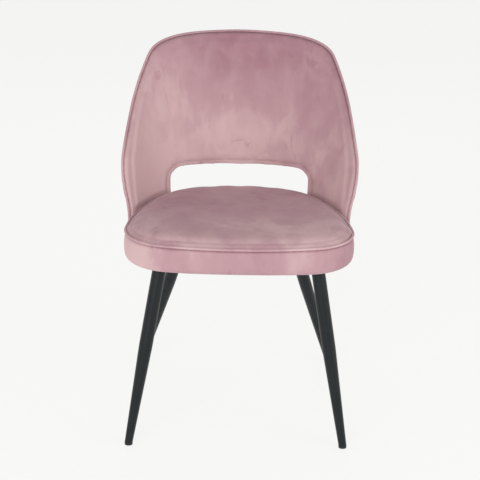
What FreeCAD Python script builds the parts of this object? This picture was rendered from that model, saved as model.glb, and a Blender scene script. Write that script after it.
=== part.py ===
import FreeCAD, Part
import Sketcher
import math
import os

# Upholstered dining chair with an open lumbar gap, in millimetres.
# +X is to the right as seen from the front, +Y is towards the back, +Z is up.
# The origin is on the floor, in the middle. Left and right are as seen from the front.

Vector = FreeCAD.Vector
Rotation = FreeCAD.Rotation
Placement = FreeCAD.Placement

os.makedirs("parts", exist_ok=True)
doc = FreeCAD.newDocument("chair")
sheet = doc.addObject("Spreadsheet::Sheet", "sizes")

sizes = {
    # Overall and seat plan
    "overall_height": 840,  # floor to the crest of the back
    "seat_rear": 184,  # y of the seat's rear edge
    "seat_width": 506,  # widest, across the front half of the seat
    "seat_depth": 450,  # rear edge to front edge of the seat
    "rear_radius": 304,  # plan arc behind the sitter
    "rear_angle": 25,  # heading where that arc ends, degrees from the middle
    "rear_corner_radius": 154,  # plan arc of the rear corner
    "rear_corner_angle": 62,  # heading where the rear corner ends
    "side_angle": 84,  # heading where the side arc ends
    "front_corner_angle": 176,  # heading where the front corner ends

    # Seat cushion
    "seat_underside": 403,  # floor to the underside of the seat
    "seam_height": 466,  # floor to the piped seam round the seat
    "crown_rise": 17,  # crown of the cushion above the seam
    "underside_draw": 9,  # how far the bottom edge is drawn in
    "seam_draw": 5,  # how far the piped seam is drawn in
    "cover_thickness": 1.2,  # velvet with its backing
    "piping_diameter": 5.5,  # covered cord
    "piping_clearance": 0.5,  # groove round the covered cord
    "piping_proud": 2,  # how far the cord stands out of its seam
    "board_thickness": 12,  # plywood seat board
    "board_margin": 20,  # seat board inside the widest outline
    "hem_width": 28,  # velvet turned under the board
    "dust_cloth_thickness": 0.6,  # black cloth under the seat
    "dust_cloth_margin": 32,  # dust cloth inside the widest outline

    # Back shell
    "shell_clearance": 0.5,  # seat side to the shell's inner face
    "wing_thickness": 20,  # shell thickness at the wings
    "back_thickness": 27,  # shell thickness behind the sitter
    "shell_underside": 405,  # floor to the shell's lower edge
    "upright_height": 445,  # the shell is upright up to here
    "flare_height": 505,  # and leans at a steady rate from here
    "lean": 57,  # how far the crest leans back
    "rear_radius_growth": 122,  # extra rear radius at the crest
    "rear_corner_growth": 63,  # extra rear corner radius at the crest
    "side_radius_growth": 112,  # extra side radius at the crest
    "wing_front": -13,  # y of the wing's upright front edge
    "wing_radius": 143,  # side view, round from the front edge to the sweep
    "wing_slope": 44,  # degrees, where the wing's round ends
    "sweep_radius": 880,  # side view, hollow sweep up to the crest
    "crest_slope": 60,  # degrees, where the sweep ends
    "crest_radius": 94,  # side view, round over the crest
    "inner_edge_radius": 6,  # round on the inner side of the rim
    "outer_edge_radius": 11,  # round on the outer side of the rim
    "piping_depth": 12,  # inner face to the piping's centre line
    "core_depth": 8,  # inner face to the plywood core
    "core_thickness": 8,  # bent plywood core
    "core_margin": 14,  # core inside the rim
    "opening_width": 330,  # lumbar gap
    "opening_top": 528,  # floor to the top of the gap
    "opening_bottom": 452,  # floor to the bottom of the gap
    "opening_radius": 30,  # upper corners of the gap
    "opening_low_radius": 14,  # lower corners of the gap
    "opening_foam": 6,  # foam between the gap's lining and the core

    # Legs
    "front_leg_x": 173,  # leg axis at the plate
    "front_leg_y": -192,  # leg axis at the plate
    "front_foot_x": 240,  # leg axis on the floor
    "front_foot_y": -257,  # leg axis on the floor
    "rear_leg_x": 118,  # leg axis at the plate
    "rear_leg_y": 96,  # leg axis at the plate
    "rear_foot_x": 238,  # leg axis on the floor
    "rear_foot_y": 211,  # leg axis on the floor
    "leg_diameter": 30,  # upper part of the leg
    "foot_diameter": 16.5,  # lower end of the leg
    "leg_wall": 1.5,  # steel tube
    "straight_length": 180,  # upper part before the taper
    "glide_diameter": 18,  # plastic foot
    "glide_height": 5,  # plastic foot below the tube
    "stem_length": 18,  # plastic foot inside the tube
    "stem_clearance": 0.3,  # stem inside the tube

    # Leg plates and their bolts
    "plate_thickness": 3,  # steel
    "plate_inward": 62,  # leg axis to the plate's inner edge
    "plate_outward": 18,  # leg axis to the plate's outer edge
    "plate_width": 70,  # across
    "plate_corner": 16,  # corner radius
    "inner_hole_reach": 50,  # leg axis to the inner pair of holes
    "inner_hole_spread": 44,  # between the inner pair
    "outer_hole_reach": 8,  # leg axis to the outer pair of holes
    "outer_hole_spread": 54,  # between the outer pair
    "bolt_diameter": 6,  # leg and bracket bolts
    "hole_clearance": 0.6,  # hole wider than its bolt
    "head_diameter": 10.5,  # button head
    "head_height": 3.3,  # button head
    "socket_width": 4,  # hexagon socket across flats
    "socket_depth": 2,  # hexagon socket
    "washer_diameter": 12,  # flat washer
    "washer_thickness": 1.2,  # flat washer
    "nut_flange_diameter": 19,  # tee nut
    "nut_flange_thickness": 1.5,  # tee nut
    "nut_barrel_diameter": 8,  # tee nut
    "nut_gap": 0.4,  # tee nut hole wider than its barrel, and bore wider than its bolt

    # Brackets between seat board and shell
    "bracket_width": 40,  # steel angle
    "bracket_height": 44,  # upright leaf
    "bracket_reach": 60,  # flat leaf
    "bracket_thickness": 3,  # steel
    "bracket_bend": 4,  # round outside the bend
    "side_bracket_heading": 68,  # degrees from the middle of the back
    "bracket_seat": 0.7,  # flat leaf of steel inside the hollow of the core
    "bracket_hole_spread": 22,  # between the two holes of a leaf
    "bracket_bolt_height": 30,  # holes above the flat leaf's underside
    "bracket_screw_reach": 46,  # holes from the upright leaf's outer face
    "screw_diameter": 4,  # wood screw
    "screw_length": 13,  # wood screw below its head
    "screw_head_diameter": 8,  # wood screw
    "screw_head_height": 2.4,  # wood screw
    "beyond": 500,  # reach of the blocks that cut, further than the chair is wide
}
for line, (alias, value) in enumerate(sizes.items(), 1):
    sheet.set("A%d" % line, alias)
    sheet.set("B%d" % line, str(value))
    sheet.setAlias("B%d" % line, alias)

doc.recompute()


def mm(alias):
    return float(sheet.get(alias))


def sine(degrees):
    return math.sin(math.radians(degrees))


def cosine(degrees):
    return math.cos(math.radians(degrees))


def layer(bottom):
    """A block wider than the chair, from a height up."""
    reach = mm("beyond")
    return Part.makeBox(2 * reach, 2 * reach, reach, Vector(-reach, -reach, bottom))


class Length:
    """A length and the expression that keeps a feature tied to the sheet."""

    def __init__(self, value, text):
        self.value = float(value)
        self.text = text

    def joined(self, other, sign, value):
        text = other.text if isinstance(other, Length) else str(other)
        return Length(value, "(%s %s %s)" % (self.text, sign, text))

    def __add__(self, other):
        return self.joined(other, "+", self.value + number(other))

    def __sub__(self, other):
        return self.joined(other, "-", self.value - number(other))

    def __mul__(self, other):
        return self.joined(other, "*", self.value * number(other))

    def __truediv__(self, other):
        return self.joined(other, "/", self.value / number(other))

    def __neg__(self):
        return Length(-self.value, "(0 - %s)" % self.text)


def number(length):
    return length.value if isinstance(length, Length) else float(length)


def tied(alias):
    return Length(mm(alias), "sizes." + alias)


zero = Length(0, "0")


def keep(shape, label):
    """A feature of the document that holds a shape worked out below."""
    feature = doc.addObject("Part::Feature", label)
    feature.Label = label
    feature.Shape = shape
    return feature


# Seat plan: arcs that meet in line, each given by its radius and the heading where it ends.
# A heading is the direction that the edge faces, in degrees from +Y.

def arc_end(start, radius, first, last):
    """Where an arc ends that begins at start, in plan."""
    across = start[0] + radius * (sine(last) - sine(first))
    along = start[1] + radius * (cosine(last) - cosine(first))
    return (across, along)


def seat_arcs():
    """Radii and end headings of the half outline. Side and front corner make the width and depth."""
    a1, a2 = mm("rear_angle"), mm("rear_corner_angle")
    a3, a4 = mm("side_angle"), mm("front_corner_angle")
    r1, r2 = mm("rear_radius"), mm("rear_corner_radius")
    x2, y2 = arc_end(arc_end((0, 0), r1, 0, a1), r2, a1, a2)
    # half width = x2 + r3 (sin a3 - sin a2) + r4 (1 - sin a3)
    # depth = -y2 + r3 (cos a2 - cos a3) + r4 (cos a3 - cos a4) + r5 (1 + cos a4), r5 = x4 / sin a4
    tuck = (1 + cosine(a4)) / sine(a4)
    w3 = sine(a3) - sine(a2)
    w4 = 1 - sine(a3)
    d3 = cosine(a2) - cosine(a3) + tuck * w3
    d4 = cosine(a3) - cosine(a4) + tuck * (sine(a4) - sine(a3))
    width = mm("seat_width") / 2 - x2
    depth = mm("seat_depth") + y2 - tuck * x2
    det = w3 * d4 - w4 * d3
    r3 = (width * d4 - w4 * depth) / det
    r4 = (w3 * depth - width * d3) / det
    x4 = x2 + w3 * r3 + (sine(a4) - sine(a3)) * r4
    r5 = x4 / sine(a4)
    return [(r1, a1), (r2, a2), (r3, a3), (r4, a4), (r5, 180)]


def plan_arc(start, radius, first, last, height):
    """One arc of an outline, as an edge on the right-hand side."""
    middle = arc_end(start, radius, first, (first + last) / 2)
    end = arc_end(start, radius, first, last)
    points = [Vector(x, y, height) for x, y in (start, middle, end)]
    return Part.Arc(*points).toShape(), end


def mirrored(edge):
    return edge.mirror(Vector(0, 0, 0), Vector(1, 0, 0))


def plan_wire(start_y, arcs, height, front_line=False):
    """Closed outline, the same on both sides. The first arc spans the middle of the rear."""
    radius, heading = arcs[0]
    end = arc_end((0, start_y), radius, 0, heading)
    edges = [Part.Arc(Vector(-end[0], end[1], height), Vector(0, start_y, height),
                      Vector(end[0], end[1], height)).toShape()]
    left = []
    for radius, last in arcs[1:]:
        if last == 180:
            front = arc_end(end, radius, heading, last)
            edges.append(Part.Arc(Vector(end[0], end[1], height), Vector(0, front[1], height),
                                  Vector(-end[0], end[1], height)).toShape())
        else:
            edge, end = plan_arc(end, radius, heading, last, height)
            edges.append(edge)
            left.append(mirrored(edge))
        heading = last
    if front_line:
        edges.append(Part.makeLine(Vector(end[0], end[1], height), Vector(-end[0], end[1], height)))
    return Part.Wire(Part.__sortEdges__(edges + left))


def seat_wire(inset, height):
    arcs = [(radius - inset, heading) for radius, heading in seat_arcs()]
    return plan_wire(mm("seat_rear") - inset, arcs, height)


def seat_slab(inset, bottom, thickness):
    return Part.Face(seat_wire(inset, bottom)).extrude(Vector(0, 0, thickness))


def smooth_loft(wires):
    return Part.makeLoft(wires, True, False, False, 3)


# Seat cushion: the side swells between underside and seam, and the top is crowned

def cushion(skin):
    low = mm("seat_underside") + skin
    seam = mm("seam_height")
    draw = mm("underside_draw")
    drawn = mm("seam_draw")
    rise = mm("crown_rise") - skin
    side = [(draw, low), (draw * 0.5, low + 4), (draw * 0.17, low + 12),
            (0, (low + seam) / 2 + 3), (drawn, seam)]
    top = [(drawn, seam), (drawn + 6, seam + 0.37 * rise), (drawn + 26, seam + 0.73 * rise),
           (drawn + 58, seam + 0.93 * rise), (drawn + 106, seam + rise)]
    lofts = []
    for sections in (side, top):
        wires = [seat_wire(inset + skin, height) for inset, height in sections]
        lofts.append(smooth_loft(wires))
    return lofts[0].fuse(lofts[1])


def seat_piping_path():
    proud = mm("piping_diameter") / 2 - mm("piping_proud")
    return seat_wire(mm("seam_draw") + proud, mm("seam_height"))


def pipe(path, radius):
    """Round cord along a closed flat path."""
    start = path.Edges[0]
    point = start.valueAt(start.FirstParameter)
    direction = start.tangentAt(start.FirstParameter)
    ring = Part.Wire(Part.makeCircle(radius, point, direction))
    return path.makePipeShell([ring], True, True)


# Back shell: plan sections that lean back and flare as they rise, cut to a side view.

def share_of_lean(height):
    """0 where the shell is upright, 1 at the crest, steady above flare_height."""
    low, high = mm("upright_height"), mm("flare_height")
    straight_from = (low + high) / 2
    if height <= low:
        return 0
    if height < high:
        rise = (height - low) ** 2 / (2 * (high - low))
    else:
        rise = height - straight_from
    return rise / (mm("overall_height") - straight_from)


def shell_wire(depth, shift, height):
    """Closed plan section of the shell at a depth outside its inner face, moved back by shift."""
    part = share_of_lean(height)
    growth = (mm("rear_radius_growth"), mm("rear_corner_growth"), mm("side_radius_growth"))
    outside = mm("shell_clearance") + depth
    arcs = []
    for (radius, heading), extra in zip(seat_arcs()[:3], growth):
        arcs.append((radius + outside + part * extra, heading))
    start = mm("seat_rear") + outside + shift + part * mm("lean")
    return plan_wire(start, arcs, height, front_line=True)


def shell_block(depth, shift=0.0):
    """Everything inside one face of the shell, from under the seat to over the crest."""
    foot = mm("shell_underside") - 10
    low, high = mm("upright_height"), mm("flare_height")
    crest = mm("overall_height") + 12
    upright = Part.Face(shell_wire(depth, shift, foot)).extrude(Vector(0, 0, low - foot))
    heights = (low, (low + high) / 2, high, (high + crest) / 2, crest)
    return upright.fuse(smooth_loft([shell_wire(depth, shift, height) for height in heights]))


def turn(centre, radius, slope, side):
    """Point of a side-view arc, y and z, where the rim has the given slope in degrees.
    side is 1 on a round and -1 on a hollow."""
    return (centre[0] - side * radius * sine(slope), centre[1] + side * radius * cosine(slope))


def rim_arcs():
    """Side view of the rim from the front edge up: centre, radius, two slopes and the side."""
    low_slope, high_slope = mm("wing_slope"), mm("crest_slope")
    wing, sweep, crest = mm("wing_radius"), mm("sweep_radius"), mm("crest_radius")
    top = mm("overall_height") - mm("piping_proud")
    wing_top = top - crest * (1 - cosine(high_slope)) - wing * cosine(low_slope)
    wing_top -= sweep * (cosine(low_slope) - cosine(high_slope))
    wing_centre = (mm("wing_front") + wing, wing_top)
    meet = turn(wing_centre, wing, low_slope, 1)
    sweep_centre = turn(meet, sweep, low_slope, 1)
    over = turn(sweep_centre, sweep, high_slope, -1)
    crest_centre = turn(over, crest, high_slope, -1)
    return [(wing_centre, wing, 90, low_slope, 1),
            (sweep_centre, sweep, low_slope, high_slope, -1),
            (crest_centre, crest, high_slope, 0, 1)]


def side_view(inset):
    """Side view of the shell as a solid across the chair, drawn in by inset along its rim."""
    left = -mm("seat_width")
    rear = mm("seat_depth")
    base = mm("shell_underside") + inset

    def place(point):
        return Vector(left, point[0], point[1])

    edges = []
    for centre, radius, first, last, side in rim_arcs():
        stops = (first, (first + last) / 2, last)
        points = [place(turn(centre, radius - side * inset, slope, side)) for slope in stops]
        edges.append(Part.Arc(*points).toShape())
    wing_top = edges[0].Vertexes[0].Point
    crest_end = edges[-1].Vertexes[-1].Point
    corners = [crest_end, place((rear, crest_end.z)), place((rear, base)),
               place((mm("wing_front") + inset, base)), wing_top]
    for first, second in zip(corners, corners[1:]):
        edges.append(Part.makeLine(first, second))
    return Part.Face(Part.Wire(edges)).extrude(Vector(-2 * left, 0, 0))


def lies_on(edge, shape):
    """Whether an edge runs on the skin of a solid."""
    length = edge.LastParameter - edge.FirstParameter
    for share in (0.25, 0.5, 0.75):
        point = Part.Vertex(edge.valueAt(edge.FirstParameter + share * length))
        if point.distToShape(shape.Shells[0])[0] > 0.02:
            return False
    return True


def rounded_rim(solid, face_block, view, radius):
    """Round the edges where one face of the shell meets the rim."""
    above = mm("shell_underside") + 2 * radius
    edges = [edge for edge in solid.Edges if edge.BoundBox.ZMax > above
             and lies_on(edge, view) and lies_on(edge, face_block)]
    return solid.makeFillet(radius, edges)


def padded_back(skin):
    """The whole back drawn in by skin, with its rim rounded and without the lumbar gap."""
    inner = shell_block(skin)
    spread = mm("back_thickness") - mm("wing_thickness")
    outer = shell_block(mm("wing_thickness") - skin, spread)
    view = side_view(skin)
    solid = outer.cut(inner).common(view).Solids[0]
    solid = rounded_rim(solid, outer, view, mm("outer_edge_radius") - skin)
    return rounded_rim(solid, inner, view, mm("inner_edge_radius") - skin)


def gap_block(wider):
    """The lumbar gap as a solid through the back, wider all round by the given amount."""
    half = mm("opening_width") / 2 + wider
    bottom = mm("opening_bottom") - wider
    top = mm("opening_top") + wider
    front = mm("wing_front") + 40
    depth = mm("seat_depth")
    block = Part.makeBox(2 * half, depth, top - bottom, Vector(-half, front, bottom))
    along = [edge for edge in block.Edges if abs(edge.BoundBox.YLength - depth) < 0.01]
    upper = [edge for edge in along if edge.BoundBox.ZMin > bottom]
    block = block.makeFillet(mm("opening_radius") + wider, upper)
    lower = [edge for edge in block.Edges if abs(edge.BoundBox.YLength - depth) < 0.01
             and edge.BoundBox.ZMax < bottom + 1]
    return block.makeFillet(mm("opening_low_radius") + wider, lower)


# Piping of the back: a line along the rim, where the plan at each height meets the side view

def shell_plan(depth, height):
    """Half plan of the shell face at a height: each arc as its start, radius and headings."""
    part = share_of_lean(height)
    growth = (mm("rear_radius_growth"), mm("rear_corner_growth"), mm("side_radius_growth"))
    outside = mm("shell_clearance") + depth
    point = (0, mm("seat_rear") + outside + part * mm("lean"))
    first = 0
    arcs = []
    for (radius, last), extra in zip(seat_arcs()[:3], growth):
        full = radius + outside + part * extra
        arcs.append((point, full, first, last))
        point = arc_end(point, full, first, last)
        first = last
    return arcs


def across_at(depth, along, height):
    """x of the shell face at a y and a height."""
    x = 0
    for start, radius, first, last in shell_plan(depth, height):
        cosine_here = cosine(first) + (along - start[1]) / radius
        if cosine(last) <= cosine_here <= cosine(first):
            x = start[0] + radius * (math.sqrt(1 - cosine_here ** 2) - sine(first))
    return x


def rim_line():
    """Points of the piping's centre line from the left front edge over the crest to the right."""
    inset = mm("piping_diameter") / 2 - mm("piping_proud")
    depth = mm("piping_depth")
    arcs = rim_arcs()
    wing_top = arcs[0][0][1]
    front = mm("wing_front") + inset
    places = []
    steps = 4
    for step in range(steps):
        height = mm("shell_underside") + (wing_top - mm("shell_underside")) * step / steps
        places.append((front, height))
    for (centre, radius, first, last, side), steps in zip(arcs, (6, 6, 8)):
        for step in range(steps):
            slope = first + (last - first) * step / steps
            places.append(turn(centre, radius - side * inset, slope, side))
    half = [Vector(across_at(depth, along, height), along, height) for along, height in places]
    crest = arcs[-1][0]
    height = crest[1] + arcs[-1][1] - inset
    start, radius, first, last = shell_plan(depth, height)[0]
    turn_over = math.degrees(math.asin(across_at(depth, crest[0], height) / radius))
    for share in (1, 0.66, 0.33):
        x, y = arc_end(start, radius, 0, turn_over * share)
        half.append(Vector(x, y, height))
    middle = [Vector(0, start[1], height)]
    left = [Vector(-point.x, point.y, point.z) for point in half]
    return left + middle + half[::-1]


def rim_cord():
    """The cord as mitred round runs along the rim."""
    points = rim_line()
    start = (points[1] - points[0]).normalize()
    ring = Part.Wire(Part.makeCircle(mm("piping_diameter") / 2, points[0], start))
    return Part.makePolygon(points).makePipeShell([ring], True, False, 1)


def rim_channel():
    """The groove in the rim that the piping lies in."""
    room = mm("piping_diameter") / 2 + mm("piping_clearance")
    floor = mm("piping_diameter") - mm("piping_proud") + mm("piping_clearance")
    band = shell_block(mm("piping_depth") + room).cut(shell_block(mm("piping_depth") - room))
    return band.cut(side_view(floor))


# Sketches and bodies whose sizes are tied to the sheet

def origin_plane(body, role):
    for feature in body.Origin.OriginFeatures:
        if feature.Role == role:
            return feature


def new_sketch(body, label, role):
    sketch = body.newObject("Sketcher::SketchObject", label)
    sketch.AttachmentSupport = (origin_plane(body, role), "")
    sketch.MapMode = "FlatFace"
    return sketch


def tie(sketch, kind, *reference):
    """A dimension of a sketch, bound to the sheet. The last item is its length."""
    length = reference[-1]
    constraint = Sketcher.Constraint(kind, *reference[:-1], length.value)
    index = sketch.addConstraint(constraint)
    if length.text != "0":
        sketch.setExpression("Constraints[%d]" % index, length.text)


def closed_outline(sketch, corners):
    """Straight-sided outline whose corners are pairs of lengths."""
    count = len(corners)
    for index in range(count):
        ends = [Vector(x.value, y.value, 0) for x, y in (corners[index], corners[(index + 1) % count])]
        sketch.addGeometry(Part.LineSegment(*ends))
    for index in range(count):
        sketch.addConstraint(Sketcher.Constraint("Coincident", index, 2, (index + 1) % count, 1))
    for index, (x, y) in enumerate(corners):
        tie(sketch, "DistanceX", -1, 1, index, 1, x)
        tie(sketch, "DistanceY", -1, 1, index, 1, y)


def circles(sketch, centres, diameter):
    for x, y in centres:
        index = sketch.GeometryCount
        centre = Vector(x.value, y.value, 0)
        sketch.addGeometry(Part.Circle(centre, Vector(0, 0, 1), diameter.value / 2))
        tie(sketch, "DistanceX", -1, 1, index, 3, x)
        tie(sketch, "DistanceY", -1, 1, index, 3, y)
        tie(sketch, "Diameter", index, diameter)


def pad(body, sketch, length, label, both_ways=False):
    feature = body.newObject("PartDesign::Pad", label)
    feature.Profile = sketch
    feature.Length = length.value
    feature.setExpression("Length", length.text)
    feature.Midplane = both_ways
    return feature


def pocket(body, sketch, length, label, reverse=False):
    """A cut, which must take something away."""
    doc.recompute()
    before = body.Shape.Volume
    feature = body.newObject("PartDesign::Pocket", label)
    feature.Profile = sketch
    feature.Length = length.value
    feature.setExpression("Length", length.text)
    feature.Reversed = reverse
    doc.recompute()
    if body.Shape.Volume > before - 0.001:
        raise RuntimeError("%s cuts nothing" % label)
    return feature


def revolve(body, sketch, label):
    feature = body.newObject("PartDesign::Revolution", label)
    feature.Profile = sketch
    feature.ReferenceAxis = (sketch, ["V_Axis"])
    feature.Angle = 360
    return feature


def fillet(body, base, edges, radius, label):
    feature = body.newObject("PartDesign::Fillet", label)
    feature.Base = (base, edges)
    feature.Radius = radius.value
    feature.setExpression("Radius", radius.text)
    return feature


def edges_where(shape, test):
    return ["Edge%d" % (index + 1) for index, edge in enumerate(shape.Edges) if test(edge)]


# Levels under the seat

cover = mm("cover_thickness")
board_bottom = mm("seat_underside") + cover
board_top = board_bottom + mm("board_thickness")
plate_top = mm("seat_underside") - mm("dust_cloth_thickness")
plate_bottom = plate_top - mm("plate_thickness")
washer_bottom = plate_bottom - mm("washer_thickness")

parts = []


def piece(feature, label=None):
    """Count a feature as one of the chair's pieces."""
    if label:
        feature.Label = label
    parts.append(feature)
    return feature


# Legs: straight above, tapered below, cut level at the plate and at the plastic foot

leg_sides = (("left", -1), ("right", 1))
leg_ends = (("front", mm("front_leg_x"), mm("front_leg_y"), mm("front_foot_x"), mm("front_foot_y")),
            ("rear", mm("rear_leg_x"), mm("rear_leg_y"), mm("rear_foot_x"), mm("rear_foot_y")))

level = doc.addObject("Part::Box", "leg_height")
level.Placement.Base = Vector(-mm("beyond"), -mm("beyond"), mm("glide_height"))
level.setExpression("Length", "2 * sizes.beyond")
level.setExpression("Width", "2 * sizes.beyond")
level.setExpression("Placement.Base.z", "sizes.glide_height")
level.Height = plate_bottom - mm("glide_height")
level.setExpression("Height", "sizes.seat_underside - sizes.dust_cloth_thickness"
                    " - sizes.plate_thickness - sizes.glide_height")


def leg_tube(label, top, foot):
    along = foot - top
    body = doc.addObject("PartDesign::Body", label + "_tube")
    sketch = new_sketch(body, label + "_wall", "XZ_Plane")
    upper, lower, wall = tied("leg_diameter") / 2, tied("foot_diameter") / 2, tied("leg_wall")
    over = tied("leg_diameter")
    knee = -tied("straight_length")
    end = Length(-along.Length - mm("foot_diameter"), str(-along.Length) + " - sizes.foot_diameter")
    closed_outline(sketch, [(upper, over), (upper, knee), (lower, end),
                            (lower - wall, end), (upper - wall, knee), (upper - wall, over)])
    revolve(body, sketch, label + "_turned")
    body.Placement = Placement(top, Rotation(Vector(0, 0, -1), along))
    cut = doc.addObject("Part::Common", label)
    cut.Base = body
    cut.Tool = level
    return piece(cut, label)


def glide(label, top, foot):
    """Plastic foot: a flat disc on the floor and a slanted stem in the tube."""
    along = (top - foot).normalize()
    bore = mm("foot_diameter") / 2 - mm("leg_wall") - mm("stem_clearance")
    stem = Part.makeCylinder(bore, mm("stem_length") + mm("glide_height"), foot, along)
    above = layer(mm("glide_height") / 2)
    middle = foot + along * (mm("glide_height") / along.z)
    middle.z = 0
    flat = Part.makeCylinder(mm("glide_diameter") / 2, mm("glide_height"), middle)
    return piece(keep(flat.fuse(stem.common(above)), label))


def hole_places():
    """Holes of a leg plate as pairs of lengths: along the plate inwards, and across it."""
    inner, outer = tied("inner_hole_reach"), tied("outer_hole_reach")
    inner_half, outer_half = tied("inner_hole_spread") / 2, tied("outer_hole_spread") / 2
    return [(inner, inner_half), (inner, -inner_half), (outer, outer_half), (outer, -outer_half)]


def leg_plate(label, placement):
    body = doc.addObject("PartDesign::Body", label)
    sketch = new_sketch(body, label + "_outline", "XY_Plane")
    inward, outward = tied("plate_inward"), -tied("plate_outward")
    half = tied("plate_width") / 2
    closed_outline(sketch, [(inward, half), (outward, half), (outward, -half), (inward, -half)])
    solid = pad(body, sketch, tied("plate_thickness"), label + "_steel")
    doc.recompute()
    corners = edges_where(solid.Shape, lambda edge: edge.BoundBox.ZLength > mm("plate_thickness") / 2)
    fillet(body, solid, corners, tied("plate_corner"), label + "_corners")
    holes = new_sketch(body, label + "_holes", "XY_Plane")
    circles(holes, hole_places(), tied("bolt_diameter") + tied("hole_clearance"))
    pocket(body, holes, tied("plate_thickness"), label + "_drilled", reverse=True)
    body.Placement = placement
    return piece(body, label)


leg_bolts = []
for end_name, top_x, top_y, foot_x, foot_y in leg_ends:
    for side_name, side in leg_sides:
        where = "%s_%s" % (end_name, side_name)
        leg_top = Vector(side * top_x, top_y, plate_bottom)
        floor_point = Vector(side * foot_x, foot_y, 0)
        leg_tube("leg_" + where, leg_top, floor_point)
        glide("glide_" + where, leg_top, floor_point)
        inwards = math.degrees(math.atan2(top_y - foot_y, side * (top_x - foot_x)))
        plate_place = Placement(leg_top, Rotation(Vector(0, 0, 1), inwards))
        leg_plate("leg_plate_" + where, plate_place)
        for reach, across in hole_places():
            leg_bolts.append(plate_place.multVec(Vector(reach.value, across.value, 0)))


# Fasteners, each made once and set out as a group

def fastener(label, corners):
    body = doc.addObject("PartDesign::Body", label)
    sketch = new_sketch(body, label + "_section", "XZ_Plane")
    closed_outline(sketch, corners)
    revolve(body, sketch, label + "_turned")
    return body


def socket(body, label):
    """Hexagon socket in a head whose face is at the body's origin, pointing down."""
    sketch = new_sketch(body, label + "_hexagon", "XY_Plane")
    radius = mm("socket_width") / 2 / cosine(30)
    corners = [Vector(radius * cosine(60 * step), radius * sine(60 * step), 0) for step in range(6)]
    for index in range(6):
        sketch.addGeometry(Part.LineSegment(corners[index], corners[(index + 1) % 6]))
    pocket(body, sketch, tied("socket_depth"), label + "_socket", reverse=True)


def button_bolt(label, shank):
    """Head down at the origin, shank up."""
    head, stem = tied("head_diameter") / 2, tied("bolt_diameter") / 2
    high, crown = tied("head_height"), tied("head_diameter") / 3.5
    end = high + shank
    body = fastener(label, [(zero, zero), (crown, zero), (head, high * 0.7), (head, high),
                            (stem, high), (stem, end), (zero, end)])
    socket(body, label)
    return body


def group(label, template, placements):
    shapes = []
    for placement in placements:
        shape = template.Shape.copy()
        shape.Placement = placement
        shapes.append(shape)
    return piece(keep(Part.makeCompound(shapes), label))


def upright(points, height):
    return [Placement(Vector(point.x, point.y, height), Rotation()) for point in points]


clamped = tied("washer_thickness") + tied("plate_thickness") + tied("dust_cloth_thickness")
bolt_shank = clamped + tied("cover_thickness") + tied("board_thickness") + tied("nut_flange_thickness")
leg_bolt = button_bolt("leg_bolt", bolt_shank)
nut_bore = (tied("bolt_diameter") + tied("nut_gap")) / 2
barrel, flange = tied("nut_barrel_diameter") / 2, tied("nut_flange_diameter") / 2
nut_length = tied("board_thickness") * 0.75
nut_flange = tied("nut_flange_thickness")
tee_nut = fastener("tee_nut", [(nut_bore, -nut_length), (barrel, -nut_length), (barrel, zero),
                               (flange, zero), (flange, nut_flange), (nut_bore, nut_flange)])
washer_bore = (tied("bolt_diameter") + tied("nut_gap")) / 2
washer_edge = tied("washer_diameter") / 2
washer = fastener("washer", [(washer_bore, zero), (washer_edge, zero),
                             (washer_edge, tied("washer_thickness")),
                             (washer_bore, tied("washer_thickness"))])
doc.recompute()
group("leg_bolts", leg_bolt, upright(leg_bolts, washer_bottom - mm("head_height")))
group("leg_washers", washer, upright(leg_bolts, washer_bottom))
group("leg_tee_nuts", tee_nut, upright(leg_bolts, board_top))


# Brackets: steel angles from under the seat board up the inside of the shell's core

def shell_point(heading, depth):
    """Point of the upright part of the shell in plan, and the way out of the chair there."""
    for start, radius, first, last in shell_plan(depth, mm("shell_underside")):
        if abs(heading) <= last:
            x, y = arc_end(start, radius, first, abs(heading))
            break
    return Vector(math.copysign(x, heading), y, 0), Vector(sine(heading), cosine(heading), 0)


def bracket_place(heading):
    base, outwards = shell_point(heading, mm("core_depth") - mm("bracket_seat"))
    base.z = plate_bottom
    return Placement(base, Rotation(Vector(1, 0, 0), outwards))


def bracket(label, heading):
    body = doc.addObject("PartDesign::Body", label)
    sketch = new_sketch(body, label + "_angle", "XZ_Plane")
    reach, high, thick = -tied("bracket_reach"), tied("bracket_height"), tied("bracket_thickness")
    closed_outline(sketch, [(reach, zero), (zero, zero), (zero, high), (-thick, high),
                            (-thick, thick), (reach, thick)])
    solid = pad(body, sketch, tied("bracket_width"), label + "_steel", both_ways=True)
    doc.recompute()

    def outer_bend(edge):
        box = edge.BoundBox
        return box.ZMax < 0.01 and box.XMin > -0.01

    fillet(body, solid, edges_where(solid.Shape, outer_bend), tied("bracket_bend"), label + "_bend")
    spread = tied("bracket_hole_spread") / 2
    flat_holes = new_sketch(body, label + "_screw_holes", "XY_Plane")
    screw_hole = tied("screw_diameter") + tied("hole_clearance")
    across = -tied("bracket_screw_reach")
    circles(flat_holes, [(across, spread), (across, -spread)], screw_hole)
    pocket(body, flat_holes, tied("bracket_thickness"), label + "_screw_drilled", reverse=True)
    high_holes = new_sketch(body, label + "_bolt_holes", "YZ_Plane")
    bolt_hole = tied("bolt_diameter") + tied("hole_clearance")
    height = tied("bracket_bolt_height")
    circles(high_holes, [(spread, height), (-spread, height)], bolt_hole)
    pocket(body, high_holes, tied("bracket_thickness"), label + "_bolt_drilled")
    body.Placement = bracket_place(heading)
    return piece(body, label)


side_heading = mm("side_bracket_heading")
brackets = (("left", -side_heading), ("right", side_heading), ("rear", 0))
bracket_places = [bracket_place(heading) for name, heading in brackets]
for name, heading in brackets:
    bracket("bracket_" + name, heading)

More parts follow.
